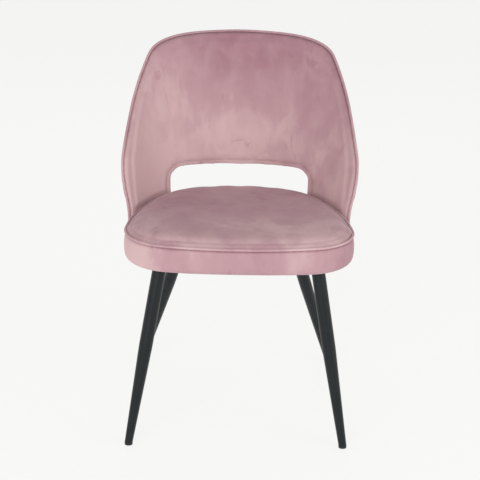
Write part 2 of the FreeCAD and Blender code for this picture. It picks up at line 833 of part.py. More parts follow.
half_spread = mm("bracket_hole_spread") / 2
screw_places = []
core_bolt_places = []
core_nut_places = []
outwards_turn = Rotation(Vector(0, 0, 1), Vector(1, 0, 0))
bracket_inner = -mm("bracket_thickness") - mm("head_height")
core_outer = mm("bracket_seat") + mm("core_thickness")
for place in bracket_places:
    for spread in (half_spread, -half_spread):
        screw = Placement(Vector(-mm("bracket_screw_reach"), spread, -mm("screw_head_height")), Rotation())
        bolt = Placement(Vector(bracket_inner, spread, mm("bracket_bolt_height")), outwards_turn)
        nut = Placement(Vector(core_outer, spread, mm("bracket_bolt_height")), outwards_turn)
        screw_places.append(place.multiply(screw))
        core_bolt_places.append(place.multiply(bolt))
        core_nut_places.append(place.multiply(nut))

screw_head, screw_stem = tied("screw_head_diameter") / 2, tied("screw_diameter") / 2
screw_high, screw_end = tied("screw_head_height"), tied("screw_head_height") + tied("screw_length")
wood_screw = fastener("wood_screw", [(zero, zero), (screw_head * 0.7, zero), (screw_head, screw_high * 0.6),
                                     (screw_head, screw_high), (screw_stem, screw_high),
                                     (screw_stem, screw_end - screw_stem), (zero, screw_end)])
core_shank = tied("bracket_thickness") + tied("bracket_seat") + tied("core_thickness")
core_bolt = button_bolt("core_bolt", core_shank + tied("nut_flange_thickness"))
core_nut_length = tied("core_thickness") * 0.75
core_nut = fastener("core_nut", [(nut_bore, -core_nut_length), (barrel, -core_nut_length), (barrel, zero),
                                 (flange, zero), (flange, nut_flange), (nut_bore, nut_flange)])
doc.recompute()
group("bracket_screws", wood_screw, screw_places)
group("bracket_bolts", core_bolt, core_bolt_places)
group("core_tee_nuts", core_nut, core_nut_places)


# Cutters for the holes and hollows that the fasteners and brackets need

def drills(places, radius, start, length):
    """Round cutters along the X axis of bracket places or the Z axis of upright ones."""
    cutters = []
    for place in places:
        axis = place.Rotation.multVec(Vector(0, 0, 1))
        cutters.append(Part.makeCylinder(radius, length, place.Base + axis * start, axis))
    return Part.makeCompound(cutters)


def bracket_hollow(place):
    """Room round the upright leaf of a bracket and its bolt heads."""
    play = mm("hole_clearance")
    deep = mm("bracket_thickness") + mm("head_height") + play
    wide = mm("bracket_width") + 2 * play
    high = mm("bracket_height") + play
    box = Part.makeBox(deep + mm("bracket_seat"), wide, high, Vector(-deep, -wide / 2, 0))
    box.Placement = place
    return box


bolt_hole_radius = (mm("bolt_diameter") + mm("hole_clearance")) / 2
barrel_hole_radius = (mm("nut_barrel_diameter") + mm("nut_gap")) / 2
flange_hole_radius = (mm("nut_flange_diameter") + mm("nut_gap")) / 2
leg_holes = drills(upright(leg_bolts, plate_bottom), bolt_hole_radius, 0, board_bottom - plate_bottom)
board_holes = drills(upright(leg_bolts, board_bottom), barrel_hole_radius, 0, mm("board_thickness"))
nut_hollows = drills(upright(leg_bolts, board_top), flange_hole_radius, 0, 2 * mm("nut_flange_thickness"))
screw_holes = drills(screw_places, mm("screw_diameter") / 2 + mm("nut_gap") / 2, 0,
                     mm("screw_head_height") + mm("screw_length") + mm("nut_gap"))
core_holes = drills(core_nut_places, barrel_hole_radius, -2 * mm("core_thickness"), 2 * mm("core_thickness"))
core_nut_hollows = drills(core_nut_places, flange_hole_radius, 0, 2 * mm("nut_flange_thickness"))
bracket_hollows = Part.makeCompound([bracket_hollow(place) for place in bracket_places])

# Seat

groove = pipe(seat_piping_path(), mm("piping_diameter") / 2 + mm("piping_clearance"))
cushion_full = cushion(0)
cushion_inner = cushion(cover)
above_seam = layer(mm("seam_height"))
board_block = seat_slab(mm("board_margin"), board_bottom, mm("board_thickness"))
hem_inside = mm("underside_draw") + mm("hem_width")
under_board = seat_slab(hem_inside, mm("seat_underside"), board_bottom - mm("seat_underside"))
dust_cloth = seat_slab(mm("dust_cloth_margin"), plate_top, mm("dust_cloth_thickness"))
below_board = layer(board_bottom - mm("beyond"))

skin = cushion_full.cut(cushion_inner)
piece(keep(board_block.cut(board_holes).cut(screw_holes), "seat_board"))
foam = cushion_inner.cut(below_board).cut(board_block).cut(nut_hollows).cut(groove)
piece(keep(foam, "seat_foam"))
piece(keep(skin.common(above_seam).cut(groove), "seat_top_cover"))
boxing = skin.cut(above_seam).cut(groove).cut(under_board).cut(leg_holes).cut(screw_holes)
piece(keep(boxing, "seat_boxing"))
piece(keep(pipe(seat_piping_path(), mm("piping_diameter") / 2), "seat_piping"))
piece(keep(dust_cloth.cut(leg_holes).cut(screw_holes), "dust_cloth"))

# Back

core_front = shell_block(mm("core_depth"))
core_rear = shell_block(mm("core_depth") + mm("core_thickness"))
seam_block = shell_block(mm("piping_depth"))
core_blank = core_rear.cut(core_front).common(side_view(mm("core_margin")))
core = core_blank.cut(gap_block(cover + mm("opening_foam"))).cut(core_holes)
back_full = padded_back(0)
back_inner = padded_back(cover)
channel = rim_channel()
gap = gap_block(0)
lined_gap = gap_block(cover)
padding = back_inner.cut(lined_gap).cut(channel)
front_foam = padding.common(core_rear).cut(core_blank.cut(gap_block(cover + mm("opening_foam"))))
rear_foam = padding.cut(core_rear).cut(core_nut_hollows)
back_skin = back_full.cut(back_inner).cut(lined_gap).cut(channel)

piece(keep(core, "back_core"))
piece(keep(front_foam.cut(bracket_hollows), "back_front_foam"))
piece(keep(rear_foam, "back_rear_foam"))
piece(keep(back_skin.common(seam_block).cut(bracket_hollows), "back_front_cover"))
piece(keep(back_skin.cut(seam_block), "back_rear_cover"))
piece(keep(back_full.common(lined_gap.cut(gap)), "gap_lining"))
piece(keep(rim_cord(), "back_piping"))

# Check every object, then write the pieces

doc.recompute()
for item in doc.Objects:
    if "Invalid" in item.State or "Error" in item.State:
        raise RuntimeError("%s failed: %s" % (item.Label, item.State))
for part in parts:
    if part.Shape.isNull() or not part.Shape.isValid() or not part.Shape.Solids:
        raise RuntimeError("%s has no valid solid" % part.Label)
for part in parts:
    part.Shape.exportStep("parts/%s.step" % part.Label)
    box = part.Shape.BoundBox
    print("%-24s %2d solids %9.0f mm3" % (part.Label, len(part.Shape.Solids), part.Shape.Volume))
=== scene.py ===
import math

import bmesh
import bpy
from mathutils import Matrix, Vector
from mathutils.kdtree import KDTree


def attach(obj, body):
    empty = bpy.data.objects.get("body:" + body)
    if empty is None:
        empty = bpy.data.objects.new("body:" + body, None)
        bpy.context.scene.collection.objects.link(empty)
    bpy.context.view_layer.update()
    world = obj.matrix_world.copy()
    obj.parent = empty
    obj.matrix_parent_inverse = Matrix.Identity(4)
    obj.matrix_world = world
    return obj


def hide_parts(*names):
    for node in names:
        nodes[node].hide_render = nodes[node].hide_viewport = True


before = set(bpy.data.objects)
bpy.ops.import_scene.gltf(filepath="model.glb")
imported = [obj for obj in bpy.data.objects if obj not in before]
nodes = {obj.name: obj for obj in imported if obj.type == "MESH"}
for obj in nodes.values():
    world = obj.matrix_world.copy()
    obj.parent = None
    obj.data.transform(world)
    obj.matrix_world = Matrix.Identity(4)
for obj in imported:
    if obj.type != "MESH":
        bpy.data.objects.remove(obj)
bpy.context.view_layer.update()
scene = bpy.context.scene
scene.view_settings.view_transform = "Standard"
scene.view_settings.look = "None"

# Camera

camera = {"place": (-0.027, -3.030, 1.469), "down": 0.340, "right": 0.009, "tilt": 0.020, "lens": 104.04,
          "shiftX": 0.0026}


def makeCamera():
    data = bpy.data.cameras.new("camera")
    data.lens = camera["lens"]
    data.sensor_width = 36.0
    data.shift_x = camera["shiftX"]
    data.clip_end = 60.0
    item = bpy.data.objects.new("camera", data)
    turn = Matrix.Rotation(-camera["right"], 4, "Z") @ Matrix.Rotation(math.pi / 2 - camera["down"], 4, "X")
    item.matrix_world = Matrix.Translation(camera["place"]) @ turn @ Matrix.Rotation(camera["tilt"], 4, "Z")
    scene.collection.objects.link(item)
    scene.camera = item


makeCamera()
print("camera placed")

# Small helpers


def makeObject(name, bm, material, smooth=True):
    mesh = bpy.data.meshes.new(name)
    bm.to_mesh(mesh)
    bm.free()
    for face in mesh.polygons:
        face.use_smooth = smooth
    item = bpy.data.objects.new(name, mesh)
    scene.collection.objects.link(item)
    mesh.materials.append(material)
    return item


def finishModifiers(item):
    bpy.context.view_layer.update()
    graph = bpy.context.evaluated_depsgraph_get()
    shaped = bpy.data.meshes.new_from_object(item.evaluated_get(graph))
    item.modifiers.clear()
    old = item.data
    item.data = shaped
    bpy.data.meshes.remove(old)
    for face in shaped.polygons:
        face.use_smooth = True


def smoothStep(value):
    value = min(max(value, 0.0), 1.0)
    return value * value * (3 - 2 * value)


# Materials


def newMaterial(name):
    material = bpy.data.materials.new(name)
    material.use_nodes = True
    tree = material.node_tree
    return material, tree, tree.nodes["Principled BSDF"]


def addNode(tree, kind, **values):
    node = tree.nodes.new(kind)
    for key, value in values.items():
        if key in node.inputs:
            node.inputs[key].default_value = value
        else:
            setattr(node, key, value)
    return node


def addNoise(tree, place, scale, detail=2.0, stretch=(1, 1, 1), distortion=0.0):
    mapping = addNode(tree, "ShaderNodeMapping", Scale=stretch)
    tree.links.new(place, mapping.inputs["Vector"])
    noise = addNode(tree, "ShaderNodeTexNoise", Scale=scale, Detail=detail, Distortion=distortion,
                    Roughness=0.55)
    tree.links.new(mapping.outputs["Vector"], noise.inputs["Vector"])
    return noise.outputs["Fac"]


def addRange(tree, value, low, high, start=0.0, end=1.0):
    ramp = addNode(tree, "ShaderNodeMapRange", interpolation_type="SMOOTHSTEP")
    for socket, number in (("From Min", low), ("From Max", high), ("To Min", start), ("To Max", end)):
        ramp.inputs[socket].default_value = number
    tree.links.new(value, ramp.inputs["Value"])
    return ramp.outputs["Result"]


def addMix(tree, factor, first, second):
    mix = addNode(tree, "ShaderNodeMix", data_type="RGBA")
    for socket, value in ((mix.inputs[0], factor), (mix.inputs[6], first), (mix.inputs[7], second)):
        if isinstance(value, (tuple, float, int)):
            socket.default_value = value
        else:
            tree.links.new(value, socket)
    return mix.outputs[2]


def addMaths(tree, operation, first, second):
    node = addNode(tree, "ShaderNodeMath", operation=operation)
    for socket, value in ((node.inputs[0], first), (node.inputs[1], second)):
        if isinstance(value, (float, int)):
            socket.default_value = value
        else:
            tree.links.new(value, socket)
    return node.outputs[0]


def addSum(tree, first, *others):
    for other in others:
        first = addMaths(tree, "ADD", first, other)
    return first


def addBump(tree, shader, height, strength, distance):
    bump = addNode(tree, "ShaderNodeBump", Strength=strength, Distance=distance)
    tree.links.new(height, bump.inputs["Height"])
    tree.links.new(bump.outputs["Normal"], shader.inputs["Normal"])


# Velvet: its colour is pale, mid or deep, and the depth there is a sum of smooth ranges and of noise; the
# smooth ranges are painted shade, partly nap, and the noise is random nap

velvet = {"pale": (0.640, 0.440, 0.450, 1), "mid": (0.485, 0.298, 0.328, 1),
          "deep": (0.350, 0.178, 0.215, 1), "creaseShade": (0.150, 0.050, 0.070, 1),
          "paleToMid": (0.0, 0.5), "midToDeep": (0.4, 1.1), "rough": 0.85, "gloss": 0.2,
          "sheen": 0.35, "sheenRough": 0.35, "sheenTint": (1.0, 0.84, 0.88, 1),
          "pile": 900.0, "bump": 0.25, "bumpHeight": 0.0006}

# Smooth ranges of painted shade and nap: where along an axis each range starts and ends, in metres, and the
# depths there
napAndShade = {"crest": (0.52, 0.80, 0.0, 0.62), "across": (-0.26, 0.26, -0.12, 0.26),
       "behind": (0.17, 0.24, 0.0, 0.12), "seatTop": (-0.24, 0.10, 0.27, 0.74),
       "bandLeft": (-0.26, -0.12, -0.10, 0.42), "bandRight": (0.10, 0.26, 0.0, 0.30),
       "overSeam": (0.462, 0.470), "piping": (0.45, 0.84, 0.25, 0.55)}

# Scale, detail, stretch and distortion of each noise, then its range and the depths there
mottle = {"cloud": ((6.0, 2.0, (1, 1, 0.6), 0.5), (0.30, 0.70, -0.15, 0.15)),
          "blot": ((22.0, 3.0, (1, 1, 0.7), 0.4), (0.35, 0.65, -0.08, 0.08)),
          "streak": ((70.0, 2.0, (1, 1, 0.12)), (0.3, 0.7, -0.022, 0.022)),
          "marks": ((30.0, 2.0, (1, 1, 0.5), 1.1), (0.60, 0.70)),
          "patches": ((8.0, 1.0), (0.50, 0.62, 0.0, 0.18))}


def backNapAndShade(tree, x, y, z):
    # Painted shade, partly nap: the colour is deeper towards the crest, the right and the rear
    high = addRange(tree, z, *napAndShade["crest"])
    wide = addRange(tree, x, *napAndShade["across"])
    return addSum(tree, high, wide, addRange(tree, y, *napAndShade["behind"]))


def seatNapAndShade(tree, x, y, z):
    # Painted shade, partly nap: the top is deepest at the rear, and the band is palest at its left end
    top = addRange(tree, y, *napAndShade["seatTop"])
    band = addSum(tree, addRange(tree, x, *napAndShade["bandLeft"]), addRange(tree, x, *napAndShade["bandRight"]))
    above = addRange(tree, z, *napAndShade["overSeam"])
    below = addMaths(tree, "SUBTRACT", 1.0, above)
    return addSum(tree, addMaths(tree, "MULTIPLY", top, above), addMaths(tree, "MULTIPLY", band, below))


def pipingShade(tree, x, y, z):
    # Painted shade: the piping's colour is deeper higher up, towards the back's crest
    return addRange(tree, z, *napAndShade["piping"])


def addMottle(tree, place, name):
    noise, depths = mottle[name]
    return addRange(tree, addNoise(tree, place, *noise), *depths)


def makeVelvet(name, tone):
    material, tree, shader = newMaterial(name)
    place = addNode(tree, "ShaderNodeTexCoord").outputs["Object"]
    split = addNode(tree, "ShaderNodeSeparateXYZ")
    tree.links.new(place, split.inputs["Vector"])
    overall = [addMottle(tree, place, kind) for kind in ("cloud", "blot", "streak")]
    marks = addMaths(tree, "MULTIPLY", addMottle(tree, place, "marks"), addMottle(tree, place, "patches"))
    depth = addSum(tree, tone(tree, *split.outputs), *overall, marks)
    light = addMix(tree, addRange(tree, depth, *velvet["paleToMid"]), velvet["pale"], velvet["mid"])
    colour = addMix(tree, addRange(tree, depth, *velvet["midToDeep"]), light, velvet["deep"])
    # Painted shade: the colour darkens along seams, valleys and creases
    creaseShade = addNode(tree, "ShaderNodeAttribute", attribute_name="creaseShade")
    colour = addMix(tree, creaseShade.outputs["Fac"], colour, velvet["creaseShade"])
    tree.links.new(colour, shader.inputs["Base Color"])
    for socket, setting in (("Roughness", "rough"), ("Specular IOR Level", "gloss"),
                            ("Sheen Weight", "sheen"), ("Sheen Roughness", "sheenRough"),
                            ("Sheen Tint", "sheenTint")):
        shader.inputs[socket].default_value = velvet[setting]
    addBump(tree, shader, addNoise(tree, place, velvet["pile"]), velvet["bump"], velvet["bumpHeight"])
    return material


# Hard finishes: two shades in soft patches, with a fine grain

plain = {"patches": 30.0, "edge": (0.35, 0.65), "wear": 0.06, "bumpHeight": 0.0003}


def makePlain(name, colour, deep, rough, metal=0.0, grain=600.0, bump=0.15, gloss=0.5):
    material, tree, shader = newMaterial(name)
    place = addNode(tree, "ShaderNodeTexCoord").outputs["Object"]
    patches = addRange(tree, addNoise(tree, place, plain["patches"], 3.0), *plain["edge"])
    fine = addNoise(tree, place, grain)
    tree.links.new(addMix(tree, patches, deep, colour), shader.inputs["Base Color"])
    roughness = addNode(tree, "ShaderNodeMapRange")
    roughness.inputs["To Min"].default_value = rough - plain["wear"]
    roughness.inputs["To Max"].default_value = rough + plain["wear"]
    tree.links.new(fine, roughness.inputs["Value"])
    tree.links.new(roughness.outputs["Result"], shader.inputs["Roughness"])
    shader.inputs["Metallic"].default_value = metal
    shader.inputs["Specular IOR Level"].default_value = gloss
    addBump(tree, shader, fine, bump, plain["bumpHeight"])
    return material


backVelvet = makeVelvet("backVelvet", backNapAndShade)
seatVelvet = makeVelvet("seatVelvet", seatNapAndShade)
pipingVelvet = makeVelvet("pipingVelvet", pipingShade)
blackCoat = makePlain("blackCoat", (0.006, 0.009, 0.011, 1), (0.004, 0.007, 0.008, 1), 0.40, gloss=0.32)
blackPlastic = makePlain("blackPlastic", (0.012, 0.012, 0.012, 1), (0.008, 0.008, 0.008, 1), 0.5)
zincSteel = makePlain("zincSteel", (0.55, 0.56, 0.58, 1), (0.45, 0.46, 0.49, 1), 0.32, metal=1.0)
birchPly = makePlain("birchPly", (0.55, 0.40, 0.24, 1), (0.45, 0.31, 0.17, 1), 0.6)
blackCloth = makePlain("blackCloth", (0.018, 0.018, 0.018, 1), (0.010, 0.010, 0.010, 1), 0.9, grain=1500.0,
                       bump=0.4)

# The seat's plan, as arcs that meet in line: radius, and the heading in degrees where each ends

seatPlan = {"arcs": ((0.304, 25.0), (0.154, 62.0), (0.47276, 75.0), (0.570, 87.0), (0.1164, 168.0),
                     (0.7944, 180.0)),
            "rear": 0.184, "step": 0.006, "weld": 0.0005}


def wholeArcs():
    arcs = []
    last = 0.0
    for radius, heading in seatPlan["arcs"]:
        arcs.append((radius, last, heading))
        last = heading
    return arcs + [(radius, 360 - heading, 360 - first) for radius, first, heading in reversed(arcs)]


def spinRound(bm, geom, inset, height, step=None):
    # Carries the geometry round the seat's outline, one spin for each arc
    y = seatPlan["rear"] - inset
    corner = Vector((0.0, y, height))
    for radius, start, end in wholeArcs():
        size = radius - inset
        steps = max(2, round(radius * math.radians(end - start) / (step or seatPlan["step"])))
        centre = corner - size * Vector((math.sin(math.radians(start)), math.cos(math.radians(start)), 0))
        made = bmesh.ops.spin(bm, geom=geom, cent=centre, axis=(0, 0, 1), dvec=(0, 0, 0),
                              angle=-math.radians(end - start), steps=steps, use_duplicate=False)
        geom = made["geom_last"]
        corner = centre + size * Vector((math.sin(math.radians(end)), math.cos(math.radians(end)), 0))


def planRing(bm, inset, height):
    before = set(bm.edges)
    start = bm.verts.new((0.0, seatPlan["rear"] - inset, height))
    spinRound(bm, [start], inset, height)
    edges = [edge for edge in bm.edges if edge not in before]
    bmesh.ops.remove_doubles(bm, verts=list({vert for edge in edges for vert in edge.verts}),
                             dist=seatPlan["weld"])
    return [edge for edge in bm.edges if edge not in before]


def bridgeRings(bm, rings):
    # Rings of inset and height become a closed form, from its underside to its top
    lower = planRing(bm, *rings[0])
    bmesh.ops.contextual_create(bm, geom=lower)
    for ring in rings[1:]:
        upper = planRing(bm, *ring)
        bmesh.ops.bridge_loops(bm, edges=lower + upper)
        lower = upper
    bmesh.ops.contextual_create(bm, geom=lower)
    bmesh.ops.recalc_face_normals(bm, faces=bm.faces)


# Padding: a form is remeshed, filled by pressure, held within a cap, and subdivided once


def remesh(item, voxel):
    step = item.modifiers.new("remesh", "REMESH")
    step.mode = "VOXEL"
    step.voxel_size = voxel
    step.use_smooth_shade = True
    finishModifiers(item)


padding = {"pressure": 4.0, "stiff": 15.0, "quality": 4, "frames": 20, "slide": 0.001, "sink": 0.0003}


def inflate(item, capAt):
    rest = [vert.co.copy() for vert in item.data.vertices]
    normals = [vert.normal.copy() for vert in item.data.vertices]
    cloth = item.modifiers.new("fill", "CLOTH")
    cloth.settings.use_pressure = True
    cloth.settings.uniform_pressure_force = padding["pressure"]
    cloth.settings.effector_weights.gravity = 0.0
    cloth.settings.quality = padding["quality"]
    cloth.settings.tension_stiffness = padding["stiff"]
    cloth.settings.compression_stiffness = padding["stiff"]
    cloth.point_cache.frame_start = 1
    cloth.point_cache.frame_end = padding["frames"]
    for moment in range(1, padding["frames"] + 1):
        scene.frame_set(moment)
    finishModifiers(item)
    scene.frame_set(1)
    for vert, start, normal in zip(item.data.vertices, rest, normals):
        cap = capAt(start, normal)
        move = vert.co - start
        out = move.dot(normal)
        along = move - normal * out
        slide = min(along.length, padding["slide"] if cap else 0.0)
        vert.co = start + normal * min(max(out, -padding["sink"]), cap)
        if slide:
            vert.co += along.normalized() * slide
    item.data.update()


def softenNear(item, chosen, times, factor):
    bm = bmesh.new()
    bm.from_mesh(item.data)
    verts = [vert for vert in bm.verts if chosen(vert.co)]
    for turn in range(times):
        bmesh.ops.smooth_vert(bm, verts=verts, factor=factor, use_axis_x=True, use_axis_y=True,
                              use_axis_z=True)
    bm.to_mesh(item.data)
    bm.free()


def subdivide(item):
    step = item.modifiers.new("finer", "SUBSURF")
    step.levels = step.render_levels = 1
    finishModifiers(item)


def nearPoints(points):
    tree = KDTree(len(points))
    for index, point in enumerate(points):
        tree.insert(point, index)
    tree.balance()
    return lambda place, normal=None: tree.find(place)[2]


def pressSeams(item, lines):
    # Each line is how far a point is from it, how wide and deep its valley is, and how dark its painted
    # shade is
    creaseShade = item.data.attributes.get("creaseShade") or item.data.attributes.new("creaseShade", "FLOAT", "POINT")
    normals = [vert.normal.copy() for vert in item.data.vertices]
    places = [vert.co.copy() for vert in item.data.vertices]
    dark = [0.0] * len(places)
    for away, width, depth, shade in lines:
        for index, place in enumerate(places):
            distance = away(place, normals[index])
            if distance < width:
                near = smoothStep(1 - distance / width)
                item.data.vertices[index].co -= normals[index] * depth * near
                dark[index] = max(dark[index], shade * near * near)
    creaseShade.data.foreach_set("value", dark)
    item.data.update()


# Seat cushion

seatPad = {"voxel": 0.005, "shrink": 0.002, "low": 0.403, "seam": 0.466, "crown": 0.017, "draw": 0.005,
           "cap": 0.0045, "bandCap": 0.0024, "rearCap": 0.0015, "rearFrom": -0.03, "flat": 0.003,
           "overSeam": 0.004, "softOver": 0.003, "softTimes": 4, "softness": 0.5,
           "lift": 0.004, "liftFrom": 0.236, "liftRun": 0.03, "liftTop": 0.030, "liftFade": 0.024}

# The side is inset and height over the underside, the crown inset from the seam and share of its rise
seatProfile = {"side": ((0.070, 0.0), (0.040, 0.0), (0.018, 0.0), (0.011, 0.0008), (0.0055, 0.004),
                        (0.0024, 0.009), (0.0006, 0.018), (0.0, 0.034), (0.0012, 0.048)),
               "crown": ((0.0, 0.0), (0.003, 0.20), (0.006, 0.37), (0.012, 0.53), (0.018, 0.64),
                         (0.026, 0.73), (0.040, 0.85), (0.058, 0.93), (0.080, 0.975), (0.106, 1.0),
                         (0.140, 1.0))}


def seatRings():
    side = [(inset, seatPad["low"] + height) for inset, height in seatProfile["side"]]
    return side + [(seatPad["draw"] + inset, seatPad["seam"] + share * seatPad["crown"])
                   for inset, share in seatProfile["crown"]]


def liftFront(bm):
    # The front's lower edge curls up a little
    for vert in bm.verts:
        front = smoothStep((-vert.co.y - seatPad["liftFrom"]) / seatPad["liftRun"])
        low = smoothStep((seatPad["low"] + seatPad["liftTop"] - vert.co.z) / seatPad["liftFade"])
        vert.co.z += seatPad["lift"] * front * low


def makeSeat():
    bm = bmesh.new()
    bridgeRings(bm, [(inset + seatPad["shrink"], height) for inset, height in seatRings()])
    liftFront(bm)
    item = makeObject("seatPad", bm, seatVelvet)
    remesh(item, seatPad["voxel"])

    def capAt(place, normal):
        if place.z < seatPad["low"] + seatPad["flat"]:
            return 0.0
        if place.y > seatPad["rearFrom"] and place.z < seatPad["seam"] + seatPad["overSeam"]:
            return seatPad["rearCap"]
        if place.z < seatPad["seam"]:
            return seatPad["bandCap"]
        return seatPad["cap"]

    inflate(item, capAt)
    softFrom = seatPad["seam"] + seatPad["softOver"]
    softenNear(item, lambda place: place.z > softFrom, seatPad["softTimes"], seatPad["softness"])
    subdivide(item)
    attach(item, "root")
    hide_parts("seat_foam", "seat_top_cover", "seat_boxing")
    return item


piping = {"radius": 0.00275, "proud": 0.002, "sides": 16, "seatStep": 0.004, "weld": 0.0002}
seamInset = seatPad["draw"] + piping["radius"] - piping["proud"]

# Valleys along the seam: inset from the piping, height over it, width, depth and painted shade
seatValleys = ((0.0, 0.0, 0.008, 0.0022, 0.40),
               (-0.0015, -0.004, 0.0055, 0.0010, 1.0),
               (0.01425, 0.008, 0.005, 0.0008, 0.16))


def ringPoints(inset, height, step=0.003):
    bm = bmesh.new()
    start = bm.verts.new((0.0, seatPlan["rear"] - inset, height))
    spinRound(bm, [start], inset, height, step)
    points = [vert.co.copy() for vert in bm.verts]
    bm.free()
    return points


def makeSeatPiping():
    bm = bmesh.new()
    upright = Matrix.Rotation(math.pi / 2, 4, "Y")
    place = Matrix.Translation((0, seatPlan["rear"] - seamInset, seatPad["seam"])) @ upright
    circle = bmesh.ops.create_circle(bm, segments=piping["sides"], radius=piping["radius"], matrix=place)
    verts = circle["verts"]
    edges = list({edge for vert in verts for edge in vert.link_edges})
    spinRound(bm, verts + edges, seamInset, seatPad["seam"], piping["seatStep"])
    bmesh.ops.remove_doubles(bm, verts=bm.verts, dist=piping["weld"])
    bmesh.ops.recalc_face_normals(bm, faces=bm.faces)
    item = makeObject("seatPiping", bm, pipingVelvet)
    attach(item, "root")
    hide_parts("seat_piping")


seat = makeSeat()
print("seat cushion filled", len(seat.data.polygons))
pressSeams(seat, [(nearPoints(ringPoints(seamInset + inset, seatPad["seam"] + height)), *valley)
                  for inset, height, *valley in seatValleys])
makeSeatPiping()
print("seat piping laid")

# Back: foam, core and covers of the CAD shell in one closed form

backPad = {"voxel": 0.0055, "shrink": 0.0015, "cap": 0.002, "innerCap": 0.0045, "skirt": 0.475,
           "skirtCap": 0.0012, "middle": -0.05, "facing": 0.5, "softness": 0.4,
           "rimSoft": 0.024, "rimTimes": 6, "rimSoftness": 0.5}

# The rim's seam: where its painted shade changes, then the width, depth and painted shade of each valley;
# the high one is a broad band of painted shade beside the rim
rim = {"weld": 0.00002, "end": 0.0005, "darkBelow": 0.60, "valley": (0.008, 0.0036, 0.16),
       "lowShade": (0.007, 0.0, 0.45), "highShade": (0.050, 0.0, 0.16)}


def rimPoints():
    # Centres of the CAD piping's sections, in order from the lower left up over the crest
    bm = bmesh.new()
    bm.from_mesh(nodes["back_piping"].data)
    bmesh.ops.remove_doubles(bm, verts=bm.verts, dist=rim["weld"])
    lowest = min(vert.co.z for vert in bm.verts)
    ring = {vert for vert in bm.verts if vert.co.z < lowest + rim["end"] and vert.co.x < 0}
    seen = set(ring)
    points = []
    while ring:
        corners = [vert.co for vert in ring]
        points.append(sum(corners, Vector()) / len(corners))
        ring = {edge.other_vert(vert) for vert in ring for edge in vert.link_edges} - seen
        seen |= ring
    bm.free()
    return points


def finerLine(points, parts=8):
    line = []
    for first, second in zip(points, points[1:]):
        line += [first.lerp(second, step / parts) for step in range(parts)]
    return line + [points[-1]]


rimLine = rimPoints()
rimSeam = finerLine(rimLine)


def remeshNodes(name, parts, voxel, material):
    bm = bmesh.new()
    for part in parts:
        bm.from_mesh(nodes[part].data)
    item = makeObject(name, bm, material)
    remesh(item, voxel)
    return item


def shrinkMesh(item, amountAt):
    normals = [vert.normal.copy() for vert in item.data.vertices]
    for vert, normal in zip(item.data.vertices, normals):
        vert.co -= normal * amountAt(vert.co)
    item.data.update()


gap = {"half": 0.165, "top": 0.528, "bottom": 0.452, "round": 0.030, "lowRound": 0.014, "reach": 0.012,
       "rearOf": 0.08, "skin": 0.0004, "soften": (2, 0.4), "turnIn": 0.0075, "sitterSide": -0.2,
       "valley": (0.004, 0.0008, 0.30),
       "hang": 0.0045, "hangReach": 0.022, "hangFrom": 0.506, "hangFade": 0.014}


def gapDistance(place):
    # How far outside the opening's edge a point is, seen along Y
    middle = (gap["top"] + gap["bottom"]) / 2
    corner = gap["round"] if place.z > middle else gap["lowRound"]
    dx = abs(place.x) - (gap["half"] - corner)
    dz = abs(place.z - middle) - ((gap["top"] - gap["bottom"]) / 2 - corner)
    return math.hypot(max(dx, 0), max(dz, 0)) + min(max(dx, dz), 0) - corner


def nearGap(place):
    return place.y > gap["rearOf"] and abs(gapDistance(place)) < gap["reach"]


def turnedIn(place, normal):
    # Distance from the line where the cover turns in to the opening, on the sitter's side, where painted
    # shade darkens the colour
    if place.y < gap["rearOf"] or normal.y > gap["sitterSide"]:
        return math.inf
    return abs(gapDistance(place) - gap["turnIn"])


def lowerGapTop(item):
    # The padding hangs a little over the opening's upper edge
    for vert in item.data.vertices:
        place = vert.co
        if place.y > gap["rearOf"]:
            near = smoothStep(1 - max(gapDistance(place), 0) / gap["hangReach"])
            place.z -= gap["hang"] * near * smoothStep((place.z - gap["hangFrom"]) / gap["hangFade"])
    item.data.update()


def makeBack():
    parts = ("back_core", "back_front_foam", "back_rear_foam", "back_front_cover", "back_rear_cover",
             "gap_lining", "back_piping")
    item = remeshNodes("backPad", parts, backPad["voxel"], backVelvet)
    shrinkMesh(item, lambda place: gap["skin"] if nearGap(place) else backPad["shrink"])
    softenNear(item, nearGap, *gap["soften"])
    lowerGapTop(item)
    nearRim = nearPoints(rimSeam)
    softenNear(item, lambda place: nearRim(place) < backPad["rimSoft"], backPad["rimTimes"],
               backPad["rimSoftness"])

    def capAt(place, normal):
        if nearGap(place):
            return gap["skin"]
        if place.z < backPad["skirt"]:
            return backPad["skirtCap"]
        across, along = place.x, place.y - backPad["middle"]
        inwards = -(normal.x * across + normal.y * along) / math.hypot(across, along)
        return backPad["innerCap"] if inwards > backPad["facing"] else backPad["cap"]

    inflate(item, capAt)
    softenNear(item, lambda place: True, 1, backPad["softness"])
    subdivide(item)
    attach(item, "root")
    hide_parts(*parts[:-1])
    return item


def makeBackPiping():
    data = bpy.data.curves.new("backPiping", "CURVE")
    data.dimensions = "3D"
    data.bevel_depth = piping["radius"]
    data.bevel_resolution = 4
    data.use_fill_caps = True
    data.resolution_u = 4
    spline = data.splines.new("NURBS")
    spline.points.add(len(rimLine) - 1)
    for point, place in zip(spline.points, rimLine):
        point.co = (*place, 1.0)
    spline.order_u = 3
    spline.use_endpoint_u = True
    item = bpy.data.objects.new("backPiping", data)
    scene.collection.objects.link(item)
    bpy.context.view_layer.update()
    graph = bpy.context.evaluated_depsgraph_get()
    mesh = bpy.data.meshes.new_from_object(item.evaluated_get(graph))
    bpy.data.objects.remove(item)
    bm = bmesh.new()
    bm.from_mesh(mesh)
    bmesh.ops.recalc_face_normals(bm, faces=bm.faces)
    item = makeObject("backPiping", bm, pipingVelvet)
    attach(item, "root")
    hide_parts("back_piping")


